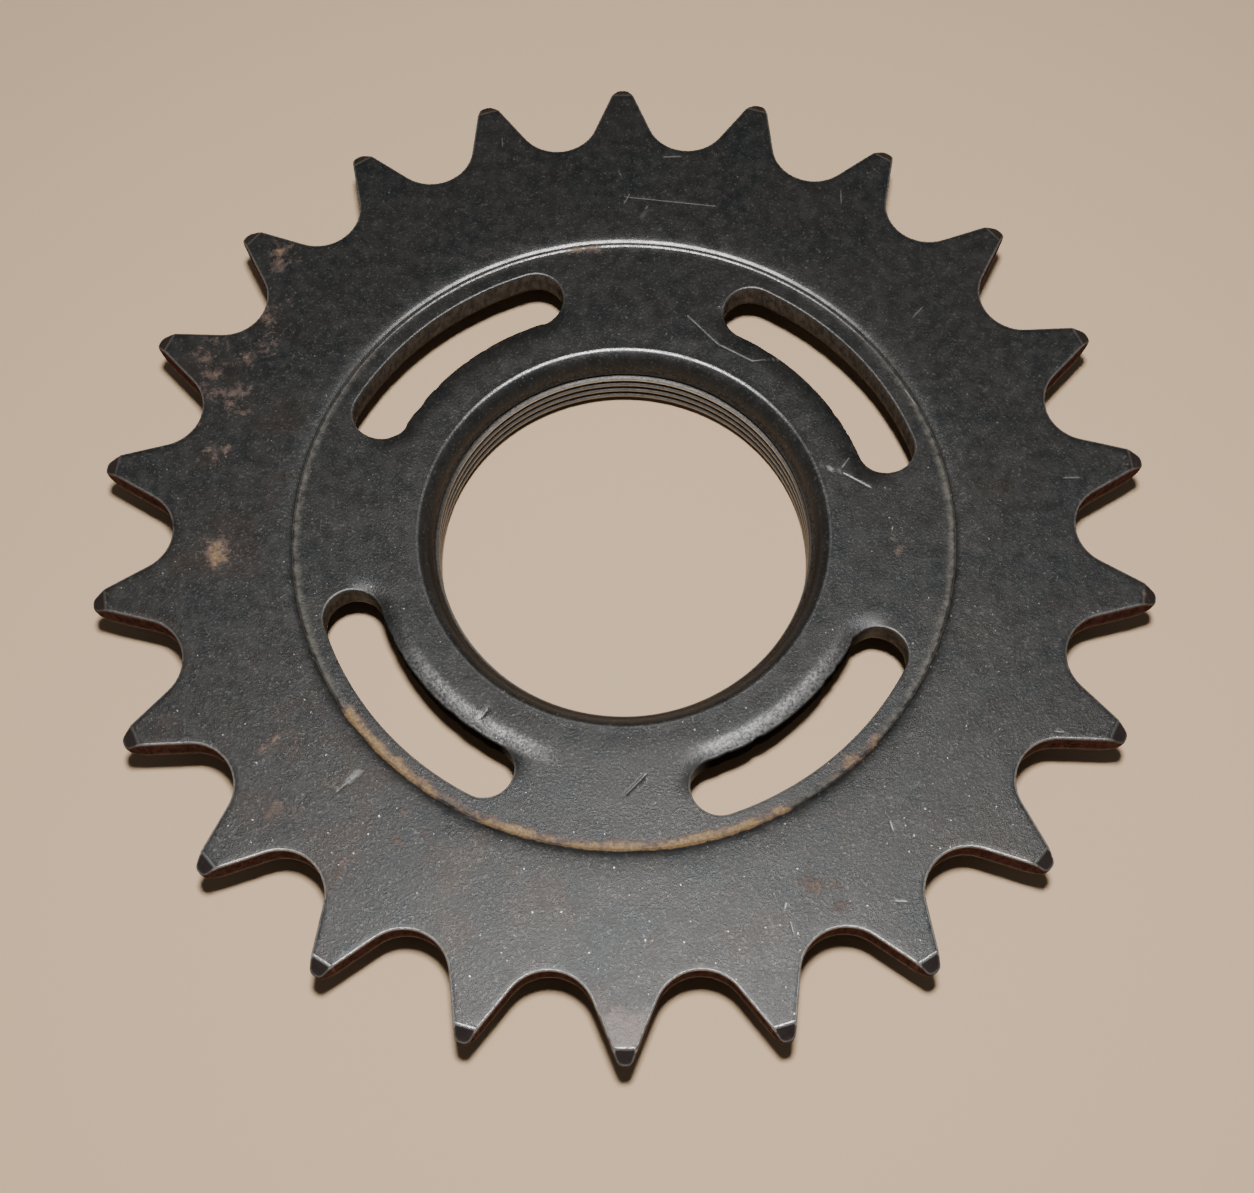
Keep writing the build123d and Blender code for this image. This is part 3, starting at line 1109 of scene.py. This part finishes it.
def thread_dirt_shade_and_highlight(f):
    """The thread's colour: dark in the grooves, partly dirt and partly painted shade; paler crests, partly
    worn and partly painted highlight; the first crest on the +Y side the palest, a painted highlight.
    """
    grime_and_shade = f.mix(f.span(f.grain, 0.40, 0.65), (0.016, 0.013, 0.011), (0.050, 0.043, 0.036))
    lit = f.times(f.crest, f.span(f.grain, 0.25, 0.55, 0.5, 1.0))
    # painted highlight on the first crest on the +Y side
    first = f.times(
        f.span(f.height, THREAD_START_Z - 1.1, THREAD_START_Z - 0.7),
        f.span(f.along, 4, 12),
    )
    return f.mix(lit, grime_and_shade, f.mix(first, (0.230, 0.215, 0.195), (0.480, 0.465, 0.440)))


def painted_mouth_shade(f):
    """Painted shade in the bore's mouth, from under its crease down to the thread. It is lighter on the +Y
    side, which faces the light.
    """
    return f.times(
        f.span(f.height, WEB_TOP - 0.2, WEB_TOP - 1.1),
        f.span(f.radius, LIP_R + 0.25, LIP_R - 0.15),
        f.span(f.height, THREAD_START_Z - 0.05, THREAD_START_Z + 0.1),
        f.span(f.along, 9, -3, 0.35, 1.0),
    )


def step_dust(f):
    """The share of dust in the corner of the step."""
    return f.times(
        f.span(f.radius, STEP_R - 0.95, STEP_R - 0.25),
        f.span(f.radius, STEP_R - 0.10, STEP_R + 0.05, 1, 0),
        f.above,
        f.span(f.ragged, 0.36, 0.66, 0.05, 0.60),
        f.span(f.along, 6, 22, 1, 0.25),
    )


def rust_on(f, colour):
    """(colour, share of rust): pinkish brown, broken up at its borders, more yellow where it is thick."""
    spread = f.stirred(f.rust, f.ragged, 0.5, 2.3)
    spread = f.stirred(spread, f.noise(2.1, 3, 0.5), 0.52, 1.9)
    share = f.span(spread, 0.55, 1.15)
    tone = f.span(f.grain, 0.35, 0.65)
    thin = f.mix(tone, (0.066, 0.040, 0.031), (0.125, 0.078, 0.058))
    thick = f.mix(tone, (0.150, 0.092, 0.038), (0.300, 0.195, 0.085))
    rust = f.mix(f.span(spread, 0.95, 1.5), thin, thick)
    return f.mix(f.times(share, 0.85), colour, rust), share


def worn_tip(f):
    """The share of a paler worn patch on the tooth nearest -Y."""
    return f.times(
        f.span(f.stirred(f.along, f.ragged, 0.5, 5.0), -43.2, -44.4),
        f.above,
        f.span(f.radius, BEVEL_R - 0.05, BEVEL_R + 0.1, 1, 0),
        f.span(f.math("ABSOLUTE", f.across), 2.2, 3.2, 1, 0),
        f.span(f.mottle, 0.34, 0.62, 0.15, 0.8),
    )


def relief(f, rust):
    """The surface's fine bumps, as a normal."""
    height = f.times(f.grain, 0.036)
    height = f.math("MULTIPLY_ADD", f.mottle, 0.010, height)
    height = f.math("MULTIPLY_ADD", rust, 0.020, height)
    height = f.math("MULTIPLY_ADD", f.times(f.cut, f.streaks), 0.10, height)
    bump = f.tree.nodes.new("ShaderNodeBump")
    bump.inputs["Strength"].default_value = 1.0
    bump.inputs["Distance"].default_value = MM
    f.put(bump.inputs["Height"], height)
    return bump.outputs["Normal"]


def blackened_steel():
    """The sprocket's whole finish."""
    f = Finish("blackened_steel")
    bare_and_highlights = bare_metal_and_highlights(f)
    # pale bare metal, which also paints the highlights picked out in bare_metal_and_highlights
    colour = f.mix(bare_and_highlights, oxide_skin(f), (0.56, 0.545, 0.525))
    colour = f.mix(f.times(f.cut, 0.9), colour, sheared_wall(f))
    # painted shade: the walls carrying the dark mark turn near-black
    colour = f.mix(f.dark, colour, (0.007, 0.005, 0.005))
    # painted shade in the bore's mouth
    deep = painted_mouth_shade(f)
    colour = f.mix(f.times(deep, 0.9), colour, (0.011, 0.0085, 0.0075))
    colour = f.mix(f.times(f.bore, 0.95), colour, thread_dirt_shade_and_highlight(f))

    # dull dark facets on the tips
    facet = f.span(f.radius, BEVEL_R + 0.10, BEVEL_R + 0.22)
    facet = f.times(facet, f.less(f.most(f.cut, f.edge)))
    facet_tone = f.mix(f.mottle, (0.016, 0.012, 0.012), (0.034, 0.025, 0.023))
    colour = f.mix(f.times(facet, 0.9), colour, facet_tone)

    dust = step_dust(f)
    colour = f.mix(dust, colour, (0.120, 0.104, 0.082))
    colour, rust = rust_on(f, colour)
    colour = f.mix(worn_tip(f), colour, (0.095, 0.072, 0.064))

    dull = f.most(f.times(rust, 0.65), f.cut, dust, f.dark, f.times(facet, 0.9), f.times(deep, 0.8))
    metal = f.blend(f.crest, f.blend(bare_and_highlights, 0.50, 0.90), 0.85)
    gloss = f.blend(bare_and_highlights, f.span(f.mottle, 0.30, 0.70, 0.35, 0.45), 0.28)
    gloss = f.blend(f.bore, gloss, 0.36)
    matt = f.most(f.dark, f.cut, f.times(f.most(facet, deep), 0.85))
    for name, value in (
        ("Base Color", colour),
        ("Metallic", f.blend(dull, metal, 0.05)),
        ("Roughness", f.blend(dull, gloss, 0.70)),
        ("Specular IOR Level", f.blend(matt, 0.5, 0.0)),
        ("Normal", relief(f, rust)),
    ):
        f.put(f.shader.inputs[name], value)
    return f.material


mesh.materials.append(blackened_steel())

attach(body, "root")
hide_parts("sprocket")

# --------------------------------------
# Floor, light and camera
FLOOR_HALF = 1.5
FLOOR_GAP = 0.02 * MM  # the floor lies this far below the collar's end, so that they don't coincide
floor_z = node_low.z - FLOOR_GAP
floor_corners = [(x * FLOOR_HALF, y * FLOOR_HALF, floor_z) for x, y in ((-1, -1), (1, -1), (1, 1), (-1, 1))]
floor_mesh = bpy.data.meshes.new("floor")
floor_mesh.from_pydata(floor_corners, [], [(0, 1, 2, 3)])
floor = bpy.data.objects.new("floor", floor_mesh)
bpy.context.scene.collection.objects.link(floor)
floor_material = bpy.data.materials.new("pale_floor")
floor_material.use_nodes = True
floor_shader = floor_material.node_tree.nodes["Principled BSDF"]
floor_shader.inputs["Base Color"].default_value = (0.58, 0.41, 0.26, 1)
floor_shader.inputs["Roughness"].default_value = 0.9
floor_mesh.materials.append(floor_material)


def area_light(name, place, size, power):
    """A round light that shines at the origin. The place and the size are in metres."""
    data = bpy.data.lights.new(name, "AREA")
    data.shape = "DISK"
    data.size = size
    data.energy = power
    light = bpy.data.objects.new(name, data)
    light.location = place
    light.rotation_euler = (-Vector(place)).to_track_quat("-Z", "Y").to_euler()
    bpy.context.scene.collection.objects.link(light)


area_light("key", (0.004, -0.036, 0.250), 0.024, 0.99)
area_light("left_fill", (-0.42, -0.10, 0.34), 0.40, 0.07)
area_light("right_fill", (0.42, 0.18, 0.34), 0.40, 0.07)
world = bpy.data.worlds.new("studio")
bpy.context.scene.world = world
world.use_nodes = True
world.node_tree.nodes["Background"].inputs["Color"].default_value = (1.0, 1.0, 1.0, 1)
world.node_tree.nodes["Background"].inputs["Strength"].default_value = 0.052

# The camera looks down on the near side, as in the photograph: angles in degrees
AZIMUTH, ELEVATION, ROLL = math.radians(0.93), math.radians(67.51), math.radians(-1.19)
DISTANCE = 192.07 * MM
AIM = Vector((0.29 * MM, -6.68 * MM, node_high.z))
back = Vector(
    (
        math.sin(AZIMUTH) * math.cos(ELEVATION),
        -math.cos(AZIMUTH) * math.cos(ELEVATION),
        math.sin(ELEVATION),
    )
)
camera_data = bpy.data.cameras.new("camera")
camera_data.sensor_width = 36
camera_data.lens = 62.05
camera_data.clip_start = 0.01
camera = bpy.data.objects.new("camera", camera_data)
camera.location = AIM + back * DISTANCE
camera.rotation_euler = (
    (-back).to_track_quat("-Z", "Y").to_matrix() @ Matrix.Rotation(ROLL, 3, "Z")
).to_euler()
bpy.context.scene.collection.objects.link(camera)
bpy.context.scene.camera = camera
